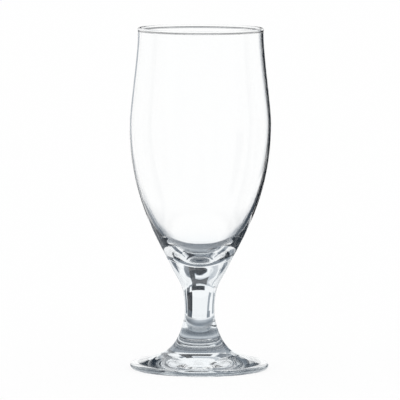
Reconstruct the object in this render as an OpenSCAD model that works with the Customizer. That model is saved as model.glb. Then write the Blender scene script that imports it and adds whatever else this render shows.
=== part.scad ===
// Footed beer glass: a blown bowl on a pressed stem on a pressed foot, each fused to the next.
// Millimetres, +Z up, origin on the table under the middle of the foot.

/* [Bowl] */
// Height of the bowl, from its fused joint up to the lip
bowl_h = 130; // [104:1:164]
// Outside diameter over the bead of the lip
rim_d = 68.6; // [56:0.2:84]
// Outside diameter at the widest place
belly_d = 77; // [66:0.2:96]
// Height of the widest place above the joint
belly_up = 78; // [62:1:92]
// Thickness of the wall from the lip to the belly
wall = 1; // [0.8:0.1:2]
// Thickness of the rounded, fire-polished bead of the lip
bead = 1.8; // [1.4:0.1:3.2]
// How far the bead stands out from the wall
bead_proud = 0.15; // [0:0.05:0.4]
// Depth of solid glass between the joint and the lowest place inside
base_t = 2.5; // [2:0.5:12]
// Lean of the bowl's outside at the joint, from upright
joint_lean = 25; // [12:1:34]

/* [Stem] */
// Height of the stem, from the foot's seat up to the bowl's joint
stem_h = 46; // [36:1:76]
// Diameter where the bowl and the stem are fused
bowl_joint_d = 31.4; // [24:0.2:40]
// Diameter at the narrowest place
waist_d = 16.2; // [12:0.2:24]
// Height of the narrowest place above the foot's seat
waist_up = 21; // [14:0.5:28]

/* [Foot] */
// Height of the foot, from the table up to the stem's seat
foot_h = 10; // [8:0.5:16]
// Outside diameter of the foot
foot_d = 75.4; // [60:0.2:96]
// Diameter where the stem and the foot are fused
foot_joint_d = 35.6; // [28:0.2:46]
// Slope of the flare at the foot's seat, below level
flare_slope = 32; // [20:1:45]
// Thickness of the foot's rounded edge
edge_t = 3.6; // [2:0.1:5]
// Slope of the foot's top where it meets the edge, below level
edge_slope = 12; // [4:1:18]
// Width of the flat ring that stands on the table
ring_w = 3; // [1.5:0.1:5]
// Height of the hollow under the middle of the foot
kick = 1.2; // [0.6:0.1:3]

/* [Curves] */
// Share of the upper bowl's height over which the lip stays upright
lip_hold = 0.27; // [0.1:0.01:0.5]
// Share of the upper bowl's height over which the belly stays full
belly_hold = 0.19; // [0.1:0.01:0.5]
// Share of the lower bowl's height over which the belly stays full
belly_drop = 0.53; // [0.3:0.01:0.65]
// Share of the lower bowl's height over which it runs straight to the joint
joint_run = 0.2; // [0.05:0.01:0.3]
// Share of the cavity's lower height over which its side stays full
side_drop = 0.54; // [0.4:0.01:0.6]
// Share of the cavity's radius over which its bottom stays level
bottom_level = 0.45; // [0.3:0.01:0.5]
// Share of the upper stem's height over which it runs straight from the joint
neck_run = 0.4; // [0.2:0.01:0.6]
// Share of the upper stem's height over which the waist stays slim
waist_hold = 0.61; // [0.3:0.01:0.7]
// Share of the lower stem's height over which the waist stays slim
waist_drop = 0.22; // [0.1:0.01:0.5]
// Share of the lower stem's height over which the flare runs straight to the seat
flare_run = 0.37; // [0.2:0.01:0.6]
// Share of the foot's overhang over which each end of its top runs straight
top_run = 0.35; // [0.1:0.01:0.45]
// Straight pieces that make up each curve
curve_steps = 28; // [12:1:48]
// Straight pieces that make up the foot's rounded edge
edge_steps = 16; // [8:1:32]

/* [Hidden] */
$fn = 128;

// Heights of the two fused joints and of the lip above the table
seat_z = foot_h;
joint_z = seat_z + stem_h;
lip_z = joint_z + bowl_h;

// Heights that the curves turn at
belly_z = joint_z + belly_up;
bead_z = lip_z - bead / 2;
cavity_z = joint_z + base_t;
waist_z = seat_z + waist_up;

// Outside and inside radii of the bowl
bead_r = rim_d / 2 - bead / 2;
lip_r = rim_d / 2 - bead_proud;
belly_r = belly_d / 2;
lip_in_r = lip_r - wall;
belly_in_r = belly_r - wall;

// Radii of the joints, the waist and the foot
joint_r = bowl_joint_d / 2;
waist_r = waist_d / 2;
seat_r = foot_joint_d / 2;
edge_r = edge_t / 2;
edge_mid_r = foot_d / 2 - edge_r;
ring_in_r = edge_mid_r - ring_w;

// Directions in the outline's plane, which holds [radius, height]
up = [0, 1];
out = [1, 0];
joint_up = [sin(joint_lean), cos(joint_lean)];
flare_up = [-cos(flare_slope), sin(flare_slope)];
edge_up = [-cos(edge_slope), sin(edge_slope)];
edge_normal = [sin(edge_slope), cos(edge_slope)];

// Points where one curve meets the next
lip_out = [lip_r, bead_z];
belly_out = [belly_r, belly_z];
joint_out = [joint_r, joint_z];
waist_out = [waist_r, waist_z];
seat_out = [seat_r, seat_z];
lip_in = [lip_in_r, bead_z];
belly_in = [belly_in_r, belly_z];
cavity_low = [0, cavity_z];
edge_mid = [edge_mid_r, edge_r];
edge_top = edge_mid + edge_r * edge_normal;
ring_in = [ring_in_r, 0];
kick_top = [0, kick];

// Spans that the curves' straight runs are shares of
lip_span = bead_z - belly_z;
bowl_span = belly_z - joint_z;
cavity_span = belly_z - cavity_z;
neck_span = joint_z - waist_z;
flare_span = waist_z - seat_z;
overhang = edge_mid_r - seat_r;

// Smooth curve from a to b, without a itself. It leaves along a_pull and arrives against b_pull,
// which are the vectors from each end to its control point.
function curve(a, a_pull, b, b_pull) = [
    for (i = [1:curve_steps])
        let (t = i / curve_steps, s = 1 - t)
        s * s * s * a + 3 * s * s * t * (a + a_pull) + 3 * s * t * t * (b + b_pull) + t * t * t * b
];

// The bowl's outside, from the joint up to the lip
function bowl_outside() = concat(
    [joint_out],
    curve(joint_out, joint_run * bowl_span * joint_up, belly_out, -belly_drop * bowl_span * up),
    curve(belly_out, belly_hold * lip_span * up, lip_out, -lip_hold * lip_span * up)
);

// The bowl's inside, from the lip down to the lowest place
function bowl_inside() = concat(
    [lip_in],
    curve(lip_in, -lip_hold * lip_span * up, belly_in, belly_hold * lip_span * up),
    curve(belly_in, -side_drop * cavity_span * up, cavity_low, bottom_level * belly_in_r * out)
);

// The stem's outside, from the foot's seat up past the waist to the bowl's joint
function stem_outside() = concat(
    [seat_out],
    curve(seat_out, flare_run * flare_span * flare_up, waist_out, -waist_drop * flare_span * up),
    curve(waist_out, waist_hold * neck_span * up, joint_out, -neck_run * neck_span * joint_up)
);

// The foot's top, from the stem's seat out to the edge
function foot_top() = concat(
    [seat_out],
    curve(seat_out, -top_run * overhang * flare_up, edge_top, top_run * overhang * edge_up)
);

// The foot's rounded edge, from its top round to the outside of the standing ring
function foot_edge() = [
    for (i = [1:edge_steps])
        let (angle = 90 - edge_slope - i / edge_steps * (180 - edge_slope))
        edge_mid + edge_r * [cos(angle), sin(angle)]
];

// The hollow under the foot, from the standing ring in to the middle
function foot_hollow() = concat(
    [ring_in],
    curve(ring_in, -top_run * ring_in_r * out, kick_top, top_run * ring_in_r * out)
);

// Blown bowl: a thin wall with a rounded lip, which thickens towards its base
module bowl() {
    color("aliceblue", 0.4)
    rotate_extrude() {
        polygon(concat(bowl_outside(), bowl_inside(), [[0, joint_z]]));
        translate([bead_r, bead_z]) circle(d = bead);
    }
}

// Pressed stem: a solid spool, fused to the bowl at its top and to the foot at its bottom
module stem() {
    color("azure", 0.4)
    rotate_extrude()
    polygon(concat([[0, seat_z]], stem_outside(), [[0, joint_z]]));
}

// Pressed foot: a disc with a rounded edge, which stands on a flat ring round a shallow hollow
module foot() {
    color("mintcream", 0.4)
    rotate_extrude()
    polygon(concat([[0, seat_z]], foot_top(), foot_edge(), foot_hollow()));
}

bowl();
stem();
foot();
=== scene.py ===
# %% [markdown]
# # A chalice beer glass
# A stemmed beer glass is three gobs of glass that are fused while they are hot: a blown bowl, a pressed stem and a pressed
# foot. The solids from the CAD step are loaded first. They fix the size and the place of every piece, so the camera, the
# light and the new meshes are all set round them.

# %% Load the frame
from math import cos, pi, radians, sin, tan
from typing import NamedTuple

import bpy
from mathutils import Matrix, Vector


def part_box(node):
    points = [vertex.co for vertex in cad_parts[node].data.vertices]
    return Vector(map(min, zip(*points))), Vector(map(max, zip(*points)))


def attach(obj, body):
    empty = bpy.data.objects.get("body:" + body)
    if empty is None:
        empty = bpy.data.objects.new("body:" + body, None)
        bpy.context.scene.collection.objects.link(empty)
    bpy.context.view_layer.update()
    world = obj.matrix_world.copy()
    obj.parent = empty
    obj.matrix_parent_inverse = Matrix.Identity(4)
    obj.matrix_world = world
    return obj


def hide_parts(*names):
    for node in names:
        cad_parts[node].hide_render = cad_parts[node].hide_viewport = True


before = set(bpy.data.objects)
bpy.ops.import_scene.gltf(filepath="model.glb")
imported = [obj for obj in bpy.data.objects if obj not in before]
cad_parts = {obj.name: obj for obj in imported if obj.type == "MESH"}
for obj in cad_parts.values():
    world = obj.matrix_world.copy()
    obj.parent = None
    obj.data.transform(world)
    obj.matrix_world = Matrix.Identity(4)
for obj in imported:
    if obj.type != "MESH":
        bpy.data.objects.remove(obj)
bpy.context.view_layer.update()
MM = 0.001

# %% [markdown]
# ## Camera
# The photograph was taken from far away with a long lens, a little above the lip: the lip is a very thin ellipse, and the
# foot a wider one. Those two ellipses give the distance and the height of the camera. The picture leans by a quarter of a
# degree, so the camera rolls by as much.

# %% Camera
PHOTO_SIDE = 400
FOCAL_PX = 4447
SENSOR = 36
EYE = Vector((0, -2.408, 0.322))
AIM = Vector((0, 0, 0.0922))
ROLL = radians(0.23)

camera_data = bpy.data.cameras.new("camera")
camera_data.sensor_width = SENSOR
camera_data.lens = FOCAL_PX / PHOTO_SIDE * SENSOR
camera = bpy.data.objects.new("camera", camera_data)
bpy.context.collection.objects.link(camera)
facing_aim = (AIM - EYE).to_track_quat("-Z", "Y").to_matrix().to_4x4()
camera.matrix_world = Matrix.Translation(EYE) @ facing_aim @ Matrix.Rotation(ROLL, 4, "Z")
bpy.context.scene.camera = camera
print("camera:", round(camera_data.lens), "mm lens,", round((AIM - EYE).length, 2), "m away")

# %% [markdown]
# ## Colours and bounces
# The Standard view shows every colour as it is written. Light is bent and mirrored many times in the thick foot before it
# gets out, and it goes through the sheets of paper round the glass, so it may bounce and pass through more often than
# usual. Light that runs out of bounces inside the glass would be lost, and show as black.

# %% Colours and bounces
BOUNCES = 28
SHEETS_PASSED = 16

bpy.context.scene.view_settings.view_transform = "Standard"
cycles = bpy.context.scene.cycles
cycles.max_bounces = cycles.glossy_bounces = cycles.transmission_bounces = BOUNCES
cycles.transparent_max_bounces = SHEETS_PASSED
print("light bounces up to", cycles.max_bounces, "times")

# %% [markdown]
# ## Outlines
# Every piece of the glass is round about one upright axis. A cylinder could be pushed into shape ring by ring, but a curve
# is easier to keep smooth, and glass shows every dent. So each outline is drawn once as a Bezier curve in the XZ plane.

# %% Draw an outline
CURVE_STEPS = 30


def deselect_all():
    if bpy.context.object and bpy.context.object.mode != "OBJECT":
        bpy.ops.object.mode_set(mode="OBJECT")
    bpy.ops.object.select_all(action="DESELECT")


def draw_outline(name, knots):
    """A Bezier curve through knots, in mm.

    Each knot has its (radius, height), its pull from the knot before and its pull to the next."""
    deselect_all()
    bpy.ops.curve.primitive_bezier_curve_add(location=(0, 0, 0))
    outline = bpy.context.object
    outline.name = name
    outline.data.dimensions = "3D"
    outline.data.resolution_u = CURVE_STEPS
    points = outline.data.splines[0].bezier_points
    points.add(len(knots) - len(points))
    for point, (at, pull_in, pull_out) in zip(points, knots):
        point.handle_left_type = point.handle_right_type = "FREE"
        point.co = Vector((at[0], 0, at[1])) * MM
        point.handle_left = Vector((at[0] + pull_in[0], 0, at[1] + pull_in[1])) * MM
        point.handle_right = Vector((at[0] + pull_out[0], 0, at[1] + pull_out[1])) * MM
    return outline


print("each curve of an outline has", CURVE_STEPS, "steps")

# %% [markdown]
# ## A lathe
# The outline becomes a string of edges and is spun once round the axis. A spun outline closes on itself at the axis and at
# the seam, where its doubled points are merged, and its faces are then turned to point outwards.

# %% Spin an outline
SPIN_STEPS = 224
SMOOTH_ANGLE = radians(30)
KNOT_MERGE = 1e-7
SEAM_MERGE = 5e-7


def spin_outline(outline):
    """Turn the outline into edges and spin them once round the Z axis."""
    deselect_all()
    outline.select_set(True)
    bpy.context.view_layer.objects.active = outline
    bpy.ops.object.convert(target="MESH")
    bpy.ops.object.mode_set(mode="EDIT")
    bpy.ops.mesh.select_mode(type="VERT")
    bpy.ops.mesh.select_all(action="SELECT")
    bpy.ops.mesh.remove_doubles(threshold=KNOT_MERGE)
    bpy.ops.mesh.spin(steps=SPIN_STEPS, angle=2 * pi, center=(0, 0, 0), axis=(0, 0, 1))
    bpy.ops.mesh.select_all(action="SELECT")
    bpy.ops.mesh.remove_doubles(threshold=SEAM_MERGE)
    bpy.ops.mesh.normals_make_consistent(inside=False)
    bpy.ops.object.mode_set(mode="OBJECT")
    bpy.ops.object.shade_smooth_by_angle(angle=SMOOTH_ANGLE)
    return bpy.context.object


print("each outline is spun in", SPIN_STEPS, "steps")

# %% [markdown]
# ## Pieces in the frame
# A spun piece takes the place of one solid. It rides on the glass's only body, because nothing on it moves, and all three
# pieces are of the same clear glass.

# %% Make a piece


def make_piece(name, node, knots):
    """Spin an outline and let it stand for a CAD node."""
    piece = spin_outline(draw_outline(name, knots))
    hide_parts(node)
    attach(piece, "root")
    print(f"{name}: {len(piece.data.polygons)} faces, {[round(d / MM, 2) for d in piece.dimensions]} mm")
    return piece


# %% [markdown]
# ## Sizes
# The heights come from the loaded solids. The curves between them are the ones that the solids have, with the same pulls at
# each end, so the smooth meshes lie on the solids, apart from a soft blend under the bead of the lip. The pieces stop a
# hundredth of a millimetre short of each joint, because two faces in the same place would render as noise.

# %% Sizes shared by the pieces
JOINT_R = 15.7
JOINT_LEAN = radians(25)
FLARE_SLOPE = radians(32)
WELD_GAP = 0.01
QUARTER_ARC = 0.5523
STRAIGHT = (0, 0)

seat_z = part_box("stem")[0].z / MM
joint_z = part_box("bowl")[0].z / MM
lip_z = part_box("bowl")[1].z / MM
belly_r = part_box("bowl")[1].x / MM
foot_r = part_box("foot")[1].x / MM
seat_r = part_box("stem")[1].x / MM


def along(angle_from_up, length):
    """A pull of that length, leaning out from upright by that angle."""
    return (sin(angle_from_up) * length, cos(angle_from_up) * length)


print("heights in mm:", seat_z, joint_z, lip_z, "widest:", belly_r, foot_r)

# %% [markdown]
# ## Bowl
# The bowl is blown: a wall 1 mm thick that swells to a belly and draws in again to the lip. Below the belly it thickens,
# because the hot glass runs down to the base. The lip was melted round by a flame, so it has a bead that stands a little
# proud of the wall on both sides. The outline starts on the axis at the joint, goes out and up the outside, over the bead
# and down the inside to the lowest place of the cavity.

# %% Bowl's sizes
BELLY_UP = 78
WALL = 1.0
RIM_R = 34.3
BEAD_R = 0.9
BEAD_PROUD = 0.15
BASE_T = 2.5

belly_z = joint_z + BELLY_UP
bead_z = lip_z - BEAD_R
cavity_z = joint_z + BASE_T
lip_r = RIM_R - BEAD_PROUD
lip_in_r = lip_r - WALL
belly_in_r = belly_r - WALL
lip_span = bead_z - belly_z
cavity_span = belly_z - cavity_z
print("belly at", belly_z, "mm, cavity from", cavity_z, "mm up, lip inside", round(2 * lip_in_r, 2), "mm wide")

# %% [markdown]
# The bead is drawn as two quarter rounds. Short hollow curves below it, on both sides, lead over to the wall, as melted
# glass does.

# %% Bowl
JOINT_RUN, BELLY_DROP, BELLY_HOLD, LIP_HOLD = 0.2, 0.53, 0.19, 0.27
SIDE_DROP, BOTTOM_LEVEL = 0.54, 0.45
BEAD_OUT_REACH, BEAD_OUT_PULL, LIP_OUT_PULL = 0.8, 0.35, 0.25
BEAD_IN_REACH, BEAD_IN_PULL, LIP_IN_PULL = 1.2, 0.75, 0.5

bead_arc = QUARTER_ARC * BEAD_R
lip_pull = LIP_HOLD * lip_span
belly_pull = BELLY_HOLD * lip_span

bowl = make_piece("bowl_blown", "bowl", [
    ((0, joint_z + WELD_GAP), STRAIGHT, (JOINT_R / 3, 0)),
    ((JOINT_R, joint_z + WELD_GAP), (-JOINT_R / 3, 0), along(JOINT_LEAN, JOINT_RUN * BELLY_UP)),
    ((belly_r, belly_z), (0, -BELLY_DROP * BELLY_UP), (0, belly_pull)),
    ((lip_r, bead_z - BEAD_OUT_REACH), (0, BEAD_OUT_REACH - lip_pull), (0, LIP_OUT_PULL)),
    ((RIM_R, bead_z), (0, -BEAD_OUT_PULL), (0, bead_arc)),
    ((RIM_R - BEAD_R, lip_z), (bead_arc, 0), (-bead_arc, 0)),
    ((RIM_R - 2 * BEAD_R, bead_z), (0, bead_arc), (0, -BEAD_IN_PULL)),
    ((lip_in_r, bead_z - BEAD_IN_REACH), (0, LIP_IN_PULL), (0, BEAD_IN_REACH - lip_pull)),
    ((belly_in_r, belly_z), (0, belly_pull), (0, -SIDE_DROP * cavity_span)),
    ((0, cavity_z), (BOTTOM_LEVEL * belly_in_r, 0), STRAIGHT),
])

# %% [markdown]
# ## Stem
# The stem is pressed in a mould: a solid spool that leaves the bowl along the bowl's own slope, narrows to a waist below its
# middle and flares out to the foot. Both its ends are flat where it is fused.

# %% Stem
WAIST_UP = 21
WAIST_R = 8.1
FLARE_RUN, WAIST_DROP, WAIST_HOLD, NECK_RUN = 0.37, 0.22, 0.61, 0.4

waist_z = seat_z + WAIST_UP
neck_span = joint_z - waist_z

stem = make_piece("stem_pressed", "stem", [
    ((0, seat_z + WELD_GAP), STRAIGHT, (seat_r / 3, 0)),
    ((seat_r, seat_z + WELD_GAP), (-seat_r / 3, 0), along(FLARE_SLOPE - pi / 2, FLARE_RUN * WAIST_UP)),
    ((WAIST_R, waist_z), (0, -WAIST_DROP * WAIST_UP), (0, WAIST_HOLD * neck_span)),
    ((JOINT_R, joint_z - WELD_GAP), along(JOINT_LEAN + pi, NECK_RUN * neck_span), (-JOINT_R / 3, 0)),
    ((0, joint_z - WELD_GAP), (JOINT_R / 3, 0), STRAIGHT),
])

# %% [markdown]
# ## Foot
# The foot is a pressed disc. Its top carries on from the stem's flare and flattens towards a round edge. Underneath it is
# hollowed, so that it stands on a narrow ring and doesn't rock.

# %% Foot
EDGE_R = 1.8
EDGE_SLOPE = radians(12)
RING_W = 3
KICK = 1.2
TOP_RUN = 0.35

edge_mid_r = foot_r - EDGE_R
ring_in_r = edge_mid_r - RING_W
edge_arc = QUARTER_ARC * EDGE_R
upper_arc = 4 / 3 * tan((pi / 2 - EDGE_SLOPE) / 4) * EDGE_R
top_pull = TOP_RUN * (edge_mid_r - seat_r)
hollow_pull = TOP_RUN * ring_in_r
edge_top = (edge_mid_r + sin(EDGE_SLOPE) * EDGE_R, EDGE_R + cos(EDGE_SLOPE) * EDGE_R)

foot = make_piece("foot_pressed", "foot", [
    ((0, KICK), STRAIGHT, (hollow_pull, 0)),
    ((ring_in_r, 0), (-hollow_pull, 0), (RING_W / 3, 0)),
    ((edge_mid_r, 0), (-RING_W / 3, 0), (edge_arc, 0)),
    ((foot_r, EDGE_R), (0, -edge_arc), (0, upper_arc)),
    (edge_top, along(pi / 2 + EDGE_SLOPE, upper_arc), along(EDGE_SLOPE - pi / 2, top_pull)),
    ((seat_r, seat_z - WELD_GAP), along(FLARE_SLOPE + pi / 2, top_pull), (-seat_r / 3, 0)),
    ((0, seat_z - WELD_GAP), (seat_r / 3, 0), STRAIGHT),
])

# %% [markdown]
# ## Shader maths
# Node trees are easier to read as sums. This small class wraps a socket, so that + - * / % on it add Math nodes, > and <
# make masks of 0 and 1, and | takes the greater of two masks. One method adds any other node with its settings and inputs.

# %% Sockets as values
MANY = 999


class Value:
    def __init__(self, tree, socket=None):
        self.tree, self.socket = tree, socket

    def node(self, kind, settings=None, **inputs):
        """Add a node of that kind, set it up, feed its inputs and return it.

        An input has its name, with _ for each space, or its number, as in i0."""
        node = self.tree.nodes.new(kind)
        for key, value in (settings or {}).items():
            if key == "stops":
                ramp = node.color_ramp.elements
                while len(ramp) < len(value):
                    ramp.new(1.0)
                for stop, (at, colour) in zip(ramp, value):
                    stop.position, stop.color = at, colour
            else:
                setattr(node, key, value)
        for key, value in inputs.items():
            socket = node.inputs[int(key[1:])] if key[1:].isdigit() else node.inputs[key.replace("_", " ")]
            if isinstance(value, Value):
                self.tree.links.new(value.socket, socket)
            else:
                socket.default_value = value
        return node

    def out(self, kind, output=0, settings=None, **inputs):
        """As node, but return one of its outputs as a Value."""
        return Value(self.tree, self.node(kind, settings, **inputs).outputs[output])

    def outs(self, kind, names, **inputs):
        """As out, for several outputs of one node."""
        node = self.node(kind, **inputs)
        return [Value(self.tree, node.outputs[name]) for name in names]

    def math(self, operation, *values):
        return self.out("ShaderNodeMath", 0, {"operation": operation}, **{f"i{k}": v for k, v in enumerate(values)})

    def __add__(self, other):
        return self.math("ADD", self, other)

    def __sub__(self, other):
        return self.math("SUBTRACT", self, other)

    def __rsub__(self, other):
        return self.math("SUBTRACT", other, self)

    def __mul__(self, other):
        return self.math("MULTIPLY", self, other)

    def __truediv__(self, other):
        return self.math("DIVIDE", self, other)

    def __rtruediv__(self, other):
        return self.math("DIVIDE", other, self)

    def __mod__(self, other):
        return self.math("MODULO", self, other)

    def __abs__(self):
        return self.math("ABSOLUTE", self)

    def __gt__(self, other):
        return self.math("GREATER_THAN", self, other)

    def __lt__(self, other):
        return self.math("LESS_THAN", self, other)

    def __or__(self, other):
        return self.math("MAXIMUM", self, other)

    __radd__, __rmul__ = __add__, __mul__

    def step(self, low, high):
        """0 below low, 1 above high, and a smooth rise between them."""
        smooth = {"interpolation_type": "SMOOTHSTEP"}
        return self.out("ShaderNodeMapRange", 0, smooth, Value=self, From_Min=low, From_Max=high)

    def within(self, low, high, soft):
        """1 between low and high, with soft ends."""
        return self.step(low - soft, low + soft) * (1 - self.step(high - soft, high + soft))

    def counts(self, least, most=MANY):
        """1 for a whole number from least to most."""
        return (self > least - 0.5) * (self < most + 0.5)

    def blend(self, under, over):
        """The colour over laid on the colour under, as far as this mask says."""
        return self.out("ShaderNodeMix", 2, {"data_type": "RGBA"}, i0=self, i6=under, i7=over)


def empty_tree(owner):
    """Clear the owner's nodes and return a Value to start from."""
    owner.use_nodes = True
    owner.node_tree.nodes.clear()
    return Value(owner.node_tree)


# %% [markdown]
# ## Places on a surface
# Patterns on the glass and on the paper sheets are placed by Object coordinates, which are in metres. They are turned into
# millimetres, the unit of the sizes above. Greys have a cold cast, as white paper in shade has.

# %% Places and greys
WHITE = (1, 1, 1, 1)


def object_mm(start):
    """Where a point lies on its object: its X, Y and Z in mm."""
    place = start.out("ShaderNodeTexCoord", "Object")
    scaled = start.out("ShaderNodeVectorMath", "Vector", {"operation": "SCALE"}, i0=place, Scale=1 / MM)
    return start.outs("ShaderNodeSeparateXYZ", "XYZ", Vector=scaled)


def from_axis(x, y):
    return x.math("SQRT", x * x + y * y)


def bluish(level):
    """A cold grey of that level."""
    return (level ** 1.1, level, level ** 0.9, 1)


print("mid grey:", [round(c, 3) for c in bluish(0.5)])

# %% [markdown]
# ## Clear glass
# A little iron in soda-lime glass takes out red light. That shows as a cold grey in the thick base, stem and foot, most of
# all in the foot's edge, where light runs along the glass, and hardly in the thin wall. The tint could be an absorption
# inside the glass, but that would end at each piece's own faces, while light goes on through the fused joints. So it is set
# on the surface, by height. The ring that the glass stands on is scuffed by tables, which makes it duller and rough.

# %% Glass tint
THIN_TINT = (0.995, 0.998, 0.998, 1)
THICK_TINT = (0.91, 0.945, 0.965, 1)
EDGE_TINT = (0.62, 0.67, 0.70, 1)
SCUFF_TINT = (0.62, 0.66, 0.68, 1)
THICK_TO_THIN = (56, 74)
EDGE_BAND = (0.6, 3.0, 0.3)
SCUFF_HEIGHT = 0.06

glass = bpy.data.materials.new("clear_soda_glass")
start = empty_tree(glass)
place = start.out("ShaderNodeTexCoord", "Object")
east, north, height = object_mm(start)
scuffs = start.out("ShaderNodeTexNoise", "Fac", Vector=place, Scale=900.0, Detail=3.0)
worn = (1 - height.step(0, SCUFF_HEIGHT)) * scuffs.step(0.35, 0.65)
tint = height.within(*EDGE_BAND).blend(THICK_TINT, EDGE_TINT)
tint = height.step(*THICK_TO_THIN).blend(tint, THIN_TINT)
tint = worn.blend(tint, SCUFF_TINT)
print("tint: thick up to", THICK_TO_THIN[0], "mm, thin from", THICK_TO_THIN[1], "mm")

# %% [markdown]
# ## Uneven glass
# Blown and pressed glass is never quite even. A slow ripple bends what is seen through it, less in the foot, which lay
# against a mould, and less in the thin wall. Finer swirls lie in the floor of the cavity, above the fused joint. Both are
# hundredths of a millimetre deep, which is too little for the mesh, so they are a bump. Clear glass bends light by an
# index of 1.52.

# %% Glass ripple
GLASS_IOR = 1.52
RIPPLE_DEPTH = 0.00003
RIPPLE_STRETCH = (1, 1, 2.2)
FOOT_SHARE, FOOT_TOP = 0.3, (8, 12)
WALL_SHARE, WALL_FROM = 0.4, (70, 100)
SWIRL_SHARE, SWIRL_BAND, SWIRL_EDGE = 0.4, (57.5, 61, 1), (10, 13)
SCUFF_ROUGHNESS = 0.25

stretched = start.out("ShaderNodeMapping", 0, Vector=place, Scale=RIPPLE_STRETCH)
ripple = start.out("ShaderNodeTexNoise", "Fac", Vector=stretched, Scale=70.0, Detail=1.5)
ripple = ripple * (FOOT_SHARE + (1 - FOOT_SHARE) * height.step(*FOOT_TOP))
ripple = ripple * (1 - (1 - WALL_SHARE) * height.step(*WALL_FROM))
swirls = start.out("ShaderNodeTexNoise", "Fac", Vector=place, Scale=190.0, Detail=1.0, Distortion=0.6)
swirls = swirls * height.within(*SWIRL_BAND) * (1 - from_axis(east, north).step(*SWIRL_EDGE)) * SWIRL_SHARE
bump = start.out("ShaderNodeBump", 0, Strength=1.0, Distance=RIPPLE_DEPTH, Height=ripple + swirls)
shader = start.out("ShaderNodeBsdfPrincipled", Base_Color=tint, Roughness=worn * SCUFF_ROUGHNESS, IOR=GLASS_IOR,
                   Transmission_Weight=1.0, Normal=bump)
start.node("ShaderNodeOutputMaterial", Surface=shader)
print("glass:", len(glass.node_tree.nodes), "nodes")

# %% [markdown]
# ## Fused joints
# Where two pieces are fused there is no surface left in the real glass, and light goes straight through. The meshes still
# have their end faces, so that each piece is closed. These faces get a glass that doesn't bend light at all.

# %% Fused faces
LEVEL = 0.999

fused = bpy.data.materials.new("fused_glass")
start = empty_tree(fused)
shader = start.out("ShaderNodeBsdfPrincipled", Base_Color=WHITE, Roughness=0.0, IOR=1.0, Transmission_Weight=1.0)
start.node("ShaderNodeOutputMaterial", Surface=shader)

for piece in (bowl, stem, foot):
    piece.data.materials.clear()
    piece.data.materials.append(glass)
    piece.data.materials.append(fused)
    count = 0
    for face in piece.data.polygons:
        from_joint = min(abs(face.center.z / MM - z) for z in (seat_z, joint_z))
        if from_joint < 2 * WELD_GAP and abs(face.normal.z) > LEVEL:
            face.material_index = 1
            count += 1
    print(piece.name, "fused faces:", count)

# %% [markdown]
# ## Studio
# Glass has no colour of its own, so its shape shows only in what it bends and mirrors. A glass like this is photographed
# before a white field, with dark flags round it, which draw the dark lines along its edges and in its base. The far flags
# are dark bands of the world, each with its turn to the right of the view and its rise above the horizon, in degrees, and
# with soft ends. Each time that light is bent or mirrored is a turn of the light. Light that went straight through the stem
# has two turns and through the bowl four, and light from deep inside the base and the foot has more. So a flag for light
# with some numbers of turns draws in one part of the glass and leaves the others clear. No real flag can choose its light:
# this is a shortcut that fits the studio to the one angle of the photograph.

# %% Flags


class Flag(NamedTuple):
    """A dark band of the world, in degrees.

    turn and rise hold its ends, soft how soft these are, turns the least and most turns of the light that sees it, dark
    how dark it is, and slant how far it leans to the left for each degree of rise."""
    turn: tuple
    rise: tuple
    soft: tuple
    turns: tuple
    dark: float
    slant: float = 0


ANY = (0, MANY)
FLAGS_RIGHT = [
    Flag((29, 43), (-60, 29), (1, 2), (2, 3), 0.93, slant=0.15),
    Flag((29, 46), (-12, 10), (2, 3), (4, 4), 0.5),
    Flag((17, 30), (11, 28), (1.5, 0.8), (2, 2), 0.95),
    Flag((46, 62), (-14, 26), (2, 3), (2, 3), 0.85),
    Flag((46, 62), (-14, 26), (2, 3), (4, 4), 0.5),
    Flag((46, 60), (-14, 26), (2, 3), (5, MANY), 0.85),
    Flag((66, 88), (-14, 24), (3, 3), (6, 6), 0.8),
]
FLAGS_LEFT = [
    Flag((-62, -47), (-14, 16), (2, 3), (2, MANY), 0.65),
    Flag((-62, -50), (-10, 6), (2, 2), (5, MANY), 0.8),
    Flag((-39, -18), (-6, 29), (2, 3), (5, 7), 0.85),
    Flag((-90, -56), (-26, 30), (3, 3), (8, MANY), 0.7),
]
FLAGS_ABOVE = [
    Flag((-12, 20), (15, 28.2), (1, 0.3), ANY, 0.97),
    Flag((8, 19), (26, 38), (1, 1), ANY, 0.97),
    Flag((18, 30), (28, 34), (2, 1.5), ANY, 0.85),
    Flag((-60, 8), (31, 39), (3, 1.5), ANY, 0.45),
]
FLAGS_BELOW = [
    Flag((9, 90), (-80, -22), (4, 4), ANY, 0.5),
    Flag((-90, -9), (-80, -22), (4, 4), ANY, 0.5),
]
FLAGS_IN_FRONT = [
    Flag((-145, -117), (-6, 32), (3, 2), (6, MANY), 0.97),
    Flag((-117, -100), (0, 26), (3, 2), (6, 7), 0.65),
    Flag((132, 190), (-40, 32), (4, 5), (8, MANY), 0.97),
    Flag((-190, -132), (-40, 32), (4, 5), (8, MANY), 0.97),
    Flag((165, 190), (30, 52), (3, 4), (8, MANY), 0.7),
    Flag((-190, -165), (30, 52), (3, 4), (8, MANY), 0.7),
]
FLAGS = FLAGS_RIGHT + FLAGS_LEFT + FLAGS_ABOVE + FLAGS_BELOW + FLAGS_IN_FRONT
print("flags:", len(FLAGS))

# %% [markdown]
# ## World
# The camera sees a white world, and only bent and mirrored light sees the flags. The room behind the camera is dark, which
# the glass shows as a thin grey veil where its surface mirrors it.

# %% World
ROOM_TURN = (85, 125)
ROOM_RISE = (6, 16)
ROOM_DARK = 0.92
GREYS = 8
DEGREES = 180 / pi

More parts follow.
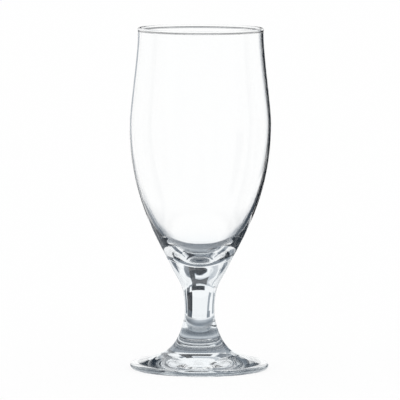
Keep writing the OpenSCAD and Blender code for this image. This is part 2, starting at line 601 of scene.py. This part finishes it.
world = bpy.data.worlds.new("studio")
bpy.context.scene.world = world
start = empty_tree(world)
direction = start.out("ShaderNodeTexCoord", "Generated")
east, north, upward = start.outs("ShaderNodeSeparateXYZ", "XYZ", Vector=direction)
turn = east.math("ARCTAN2", east, north) * DEGREES
rise = upward.math("ARCSINE", upward) * DEGREES
bent, glossy, reflected, turns = start.outs(
    "ShaderNodeLightPath", ("Is Transmission Ray", "Is Glossy Ray", "Is Reflection Ray", "Ray Depth"))
mirrored = reflected * glossy
by_glass = bent | mirrored
dark = mirrored * abs(turn).step(*ROOM_TURN) * (1 - rise.step(*ROOM_RISE)) * ROOM_DARK
for flag in FLAGS:
    across = turn + rise * flag.slant if flag.slant else turn
    band = across.within(*flag.turn, flag.soft[0]) * rise.within(*flag.rise, flag.soft[1])
    dark = dark | band * turns.counts(*flag.turns) * by_glass * flag.dark
greys = [(k / GREYS, bluish(1 - k / GREYS)) for k in range(GREYS + 1)]
studio = start.out("ShaderNodeValToRGB", 0, {"stops": greys}, Fac=dark)
background = start.out("ShaderNodeBackground", Color=studio, Strength=1.0)
start.node("ShaderNodeOutputWorld", Surface=background)
print("world:", len(world.node_tree.nodes), "nodes")

# %% [markdown]
# ## Paper
# Some flags stand close to the glass, as sheets of paper. Neither the camera nor the light on the table sees them, so that
# the picture has no sheets and the table no second shadow. Where a sheet isn't seen, its material is transparent.

# %% Paper


def make_paper(name, level, seen_by):
    """Paper of that grey, there only as far as the mask from seen_by(start, turns) says."""
    paper = bpy.data.materials.new(name)
    start = empty_tree(paper)
    turns = start.out("ShaderNodeLightPath", "Ray Depth")
    tone = start.out("ShaderNodeEmission", Color=bluish(level), Strength=1.0)
    gone = start.out("ShaderNodeBsdfTransparent", Color=WHITE)
    look = start.out("ShaderNodeMixShader", i0=seen_by(start, turns), i1=gone, i2=tone)
    start.node("ShaderNodeOutputMaterial", Surface=look)
    return paper


def put_on_stage(sheet, paper):
    sheet.name = paper.name
    sheet.data.materials.append(paper)
    sheet.visible_camera = sheet.visible_diffuse = sheet.visible_shadow = False
    wide, high = ([corner.co[axis] / MM for corner in sheet.data.vertices] for axis in (0, 2))
    print(sheet.name, "is", round(max(wide) - min(wide)), "mm wide and", round(max(high) - min(high)), "mm high")


# %% [markdown]
# ## Which light sees the cards
# The cards behind the glass are for the bowl's edges, so light from the bowl should see them only where it left at the
# bowl's side, and the upper cards only where it ran nearly level. Otherwise a card would show right through the bowl from
# another side. A Layer Weight node with a fixed normal tells how far light ran along an axis, and with that the light is
# followed back from the card to the glass's axis. Light from lower down, out of the base or the stem, sees the cards too.

# %% Light that left at the side
CARD_AWAY = 244
SIDE_SOFT = 3
STEEP_SOFT = 0.03
BASE_TOP = (70, 90)
STEM_BAND = (10, 62, 4)
STEM_SEES_TO = (95, 103)


def run_along(start, axis):
    """How far light runs along that axis for each unit of its way, whichever its sense."""
    normal = start.out("ShaderNodeCombineXYZ", **{axis: 1.0})
    return 1 - start.out("ShaderNodeLayerWeight", "Facing", Blend=0.5, Normal=normal)


def left_at_side(start, turns, past, steepest):
    """1 for light that passed the axis further out than past, in mm, and no steeper than that, or left below the bowl."""
    across, _, height = object_mm(start)
    rise = run_along(start, "Z")
    back = CARD_AWAY / run_along(start, "Y")
    beside = abs(across) - back * run_along(start, "X")
    of_bowl = beside.step(past - SIDE_SOFT, past + SIDE_SOFT)
    if steepest:
        of_bowl = of_bowl * (1 - rise.step(steepest - STEEP_SOFT, steepest + STEEP_SOFT))
    of_base = 1 - (height + back * rise).step(*BASE_TOP)
    of_stem = turns.counts(0, 2) * (height - back * rise).within(*STEM_BAND) * (1 - height.step(*STEM_SEES_TO))
    return of_bowl | of_base | of_stem


print("cards stand", CARD_AWAY, "mm behind the axis")

# %% [markdown]
# ## Cards behind the glass
# Black cards stand to the right and grey ones to the left. Being close, they come nearer to the line of sight of the wide
# bowl than of the thin stem, so the bowl's right edge is black and its left edge grey. A pale strip softens the inner side
# of the black edge, and a wide strip higher than the bowl is there for the line of the lip. The two mirrored cards go on
# below the table's level, as the gloss of the table would show the cards upside down.

# %% Cards
PLANE_CORNERS = (0, 1, 3, 2)


def stand_card(name, corners, level, turns=ANY, past=None, steepest=None):
    """A flat sheet behind the glass. Its corners' x and z in mm run low left, low right, high right, high left.

    Only light with that many turns sees it, and with past only as left_at_side says."""
    deselect_all()
    bpy.ops.mesh.primitive_plane_add(size=1, location=(0, 0, 0))
    card = bpy.context.object
    for corner, (x, z) in zip(PLANE_CORNERS, corners):
        card.data.vertices[corner].co = Vector((x, CARD_AWAY, z)) * MM

    def seen_by(start, count):
        seen = count.counts(*turns)
        return seen * left_at_side(start, count, past, steepest) if past else seen

    put_on_stage(card, make_paper(name, level, seen_by))


NEARLY_LEVEL = 0.2
stand_card("black_card", ((89, 0), (200, 0), (200, 60), (79.8, 60)), 0.012, turns=(0, 3), past=15)
stand_card("black_card_upper", ((79.8, 60), (200, 60), (200, 190), (75, 190)), 0.012,
           past=24, steepest=NEARLY_LEVEL)
stand_card("black_card_mirrored", ((108, -131), (200, -131), (200, 0), (89, 0)), 0.08, past=23)
stand_card("soft_card", ((70, 60), (79.8, 60), (75, 190), (60, 190)), 0.75,
           turns=(3, MANY), past=20, steepest=NEARLY_LEVEL)
stand_card("grey_card", ((-131, 0), (-94, 0), (-112, 96), (-159, 96)), 0.38, past=17)
stand_card("grey_card_mirrored", ((-160, -131), (-85, -131), (-94, 0), (-160, 0)), 0.28, past=20)
stand_card("pale_card", ((-159, 96), (-106, 96), (-96, 190), (-165, 190)), 0.42, past=26, steepest=NEARLY_LEVEL)
stand_card("rim_card", ((-70, 202), (70, 202), (70, 236), (-70, 236)), 0.02, turns=(0, 4))

# %% [markdown]
# ## Paper round the bowl and the foot
# A tube of white paper hangs round the bowl. The bowl's wall mirrors it, so the wall stays clear, while the stem and the
# base mirror the dark room. Light that goes in and out of the glass and is mirrored once has an odd number of turns, and
# only such light sees the tube. Behind the glass the tube is open at the sides, where the cards draw the bowl's edges. A
# low white collar lies in front of the foot, and light with eleven turns or more sees it all round. A dark collar stands
# behind the right half of the foot, for light with five to ten turns.

# %% Sheets round the glass
SHEET_SIDES = 96


def stand_round(name, radius, low, high, level, seen_at):
    """A round sheet about the axis, sizes in mm. seen_at(turns, x, y, z) has z from the sheet's middle."""
    deselect_all()
    bpy.ops.mesh.primitive_cylinder_add(vertices=SHEET_SIDES, radius=radius * MM, depth=(high - low) * MM,
                                        end_fill_type="NOTHING", location=(0, 0, (low + high) / 2 * MM))
    sheet = bpy.context.object
    put_on_stage(sheet, make_paper(name, level, lambda start, turns: seen_at(turns, *object_mm(start))))


def tube_seen(turns, x, y, z):
    middle = (1 - abs(x).step(24, 37)) * turns.counts(5)
    return turns % 2 * turns.counts(0, 7) * (middle | (y < 0)) * z.step(-62, -46)


def collar_seen(turns, x, y, z):
    return (y < 12) | turns.counts(11)


def dark_collar_seen(turns, x, y, z):
    return turns.counts(5, 10) * x.step(6, 12) * (y > 12)


stand_round("white_tube", 45, 68, 192, 1.0, tube_seen)
stand_round("white_collar", 52, 0.2, 20, 1.0, collar_seen)
stand_round("dark_collar", 53, 2.5, 17, 0.03, dark_collar_seen)

# %% [markdown]
# ## Table
# The glass stands on a plain pale table that runs on to the white background. The camera sees it white, with the faint
# shadow of the glass. Light that comes through the glass sees shade painted on the table under and near it, in rings
# from the axis outwards, for where the glass itself takes the light away. They give the foot and the base their greys.

# %% Table top
TABLE_R = 9.0
SHADE_REACH = 150
# Painted shade on the table, seen only by light through the glass: its level at each distance from the axis.
PAINTED_SHADE_RINGS = [(0, 0.15), (8, 0.15), (10, 0.19), (13, 0.29), (18, 0.62), (20, 0.5), (23, 0.27), (30, 0.25), (33, 0.3), (37, 0.45),
         (41, 0.6), (44, 0.45), (49, 0.25), (52, 0.19), (56, 0.21), (61, 0.337), (66, 0.445), (71, 0.546), (77, 0.9),
         (82, 1.0)]  # mm from the axis, level

deselect_all()
bpy.ops.mesh.primitive_circle_add(vertices=SHEET_SIDES, radius=TABLE_R, fill_type="TRIFAN", location=(0, 0, 0))
table = bpy.context.object
table.name = "table"
pale = bpy.data.materials.new("pale_table_painted_shade")
start = empty_tree(pale)
x, y, _ = object_mm(start)
away = from_axis(x, y)
rings = [(r / SHADE_REACH, bluish(level)) for r, level in PAINTED_SHADE_RINGS]
under = start.out("ShaderNodeValToRGB", 0, {"stops": rings}, Fac=away / SHADE_REACH)
print("table:", len(PAINTED_SHADE_RINGS), "rings of shade")

# %% [markdown]
# ## How light meets the table
# Light that meets the table at a flat angle sees the white background in it, a painted reflection as from a gloss.
# Light that comes down steeply sees the painted shade. How far it came and how steeply tell how high up it left the
# glass: steep light from the bowl's wall is what a viewer from above sees, and it finds the table white.

# %% Light on the table
FLAT_ANGLE = (0.50, 0.60)
STEEP_ANGLE = (0.29, 0.36)
WALL_LIGHT = (82, 92)
STEEP_WALL_LIGHT = (66, 72)

bent, glossy, reflected, turns, length = start.outs(
    "ShaderNodeLightPath", ("Is Transmission Ray", "Is Glossy Ray", "Is Reflection Ray", "Ray Depth", "Ray Length"))
mirrored = reflected * glossy
facing = start.out("ShaderNodeLayerWeight", "Facing", Blend=0.5)
flat = facing.step(*FLAT_ANGLE)
left_at = length / MM * (1 - facing)
steep = 1 - facing.step(*STEEP_ANGLE)
from_above = left_at.step(*WALL_LIGHT) * (1 - flat) | left_at.step(*STEEP_WALL_LIGHT) * steep
print("light from above leaves the glass over", STEEP_WALL_LIGHT[0], "mm up")

# %% [markdown]
# ## Shade on the table
# On top of the rings lie coats of light and shade, each with its mask, its strength and its colour. The shade is deeper to
# the left and behind, and to the right it is lighter near the glass and deeper further out. In front the table is white,
# but dark where the glass mirrors it. Light with seven turns or more finds the shade near the axis deeper still. The last
# coat is white: for light with the fewest turns near the axis, with many turns further out, with the most turns, and from
# above.

# %% Coats of shade
DARK = bluish(0.05)
NEARBY = bluish(0.17)
FRONT_MIRRORED = bluish(0.06)
BEHIND = bluish(0.08)
OFTEN_RING, OFTEN_INMOST = 0.95, 0.5

front = 1 - y.step(-14, 6)
right = x.step(2, 30)
left = 1 - x.step(-15, -2)
behind = y.step(28, 34) * (1 - abs(x).step(10, 16)) * (1 - away.step(43, 47))
ring = away.within(22, 47, 2)
inmost = 1 - away.step(20, 24)
often = turns.counts(7)
seldom_near = turns.counts(0, 2) * (1 - away.step(36, 42))
often_far = often * away.step(46, 54)

shade = under
for mask, strength, colour in [
    ((1 - flat) * away.step(56, 76), 1, NEARBY),
    (right * away.step(45, 55), 0.45, DARK),
    (right * ring * (1 - often), 0.5, WHITE),
    (left * ring, 0.6, DARK),
    (front, 1, WHITE),
    (front * mirrored, 1, FRONT_MIRRORED),
    (often * (ring * OFTEN_RING | inmost * OFTEN_INMOST) * (1 - front), 1, DARK),
    (behind * turns.counts(4), 0.7, BEHIND),
    (seldom_near | turns.counts(11) | often_far | from_above, 1, WHITE),
]:
    shade = (mask * strength).blend(shade, colour)
print("shade:", len(pale.node_tree.nodes), "nodes")

# %% [markdown]
# ## The table's look
# To the camera the table is almost white by itself, with enough of a matte surface to take the shadow. Light from the glass
# sees the shade, and further out it goes past the table to the flags, as if the table's edge were there.

# %% Table's look
WHITE_SHARE = 0.87
MATTE_WHITE = (0.97, 0.97, 0.97, 1)
EDGE_FROM = (117, 131)
FLAT_EDGE = 40

matte = start.out("ShaderNodeBsdfDiffuse", Color=MATTE_WHITE)
white = start.out("ShaderNodeEmission", Color=WHITE, Strength=1.0)
lit = start.out("ShaderNodeMixShader", i0=WHITE_SHARE, i1=matte, i2=white)
shaded = start.out("ShaderNodeEmission", Color=shade, Strength=1.0)
gone = start.out("ShaderNodeBsdfTransparent", Color=WHITE)
past_edge = (away + flat * FLAT_EDGE).step(*EDGE_FROM) * (1 - from_above)
through = start.out("ShaderNodeMixShader", i0=past_edge, i1=shaded, i2=gone)
look = start.out("ShaderNodeMixShader", i0=bent | glossy, i1=lit, i2=through)
start.node("ShaderNodeOutputMaterial", Surface=look)
table.data.materials.append(pale)
print("table's edge for bent light:", EDGE_FROM[1], "mm from the axis")
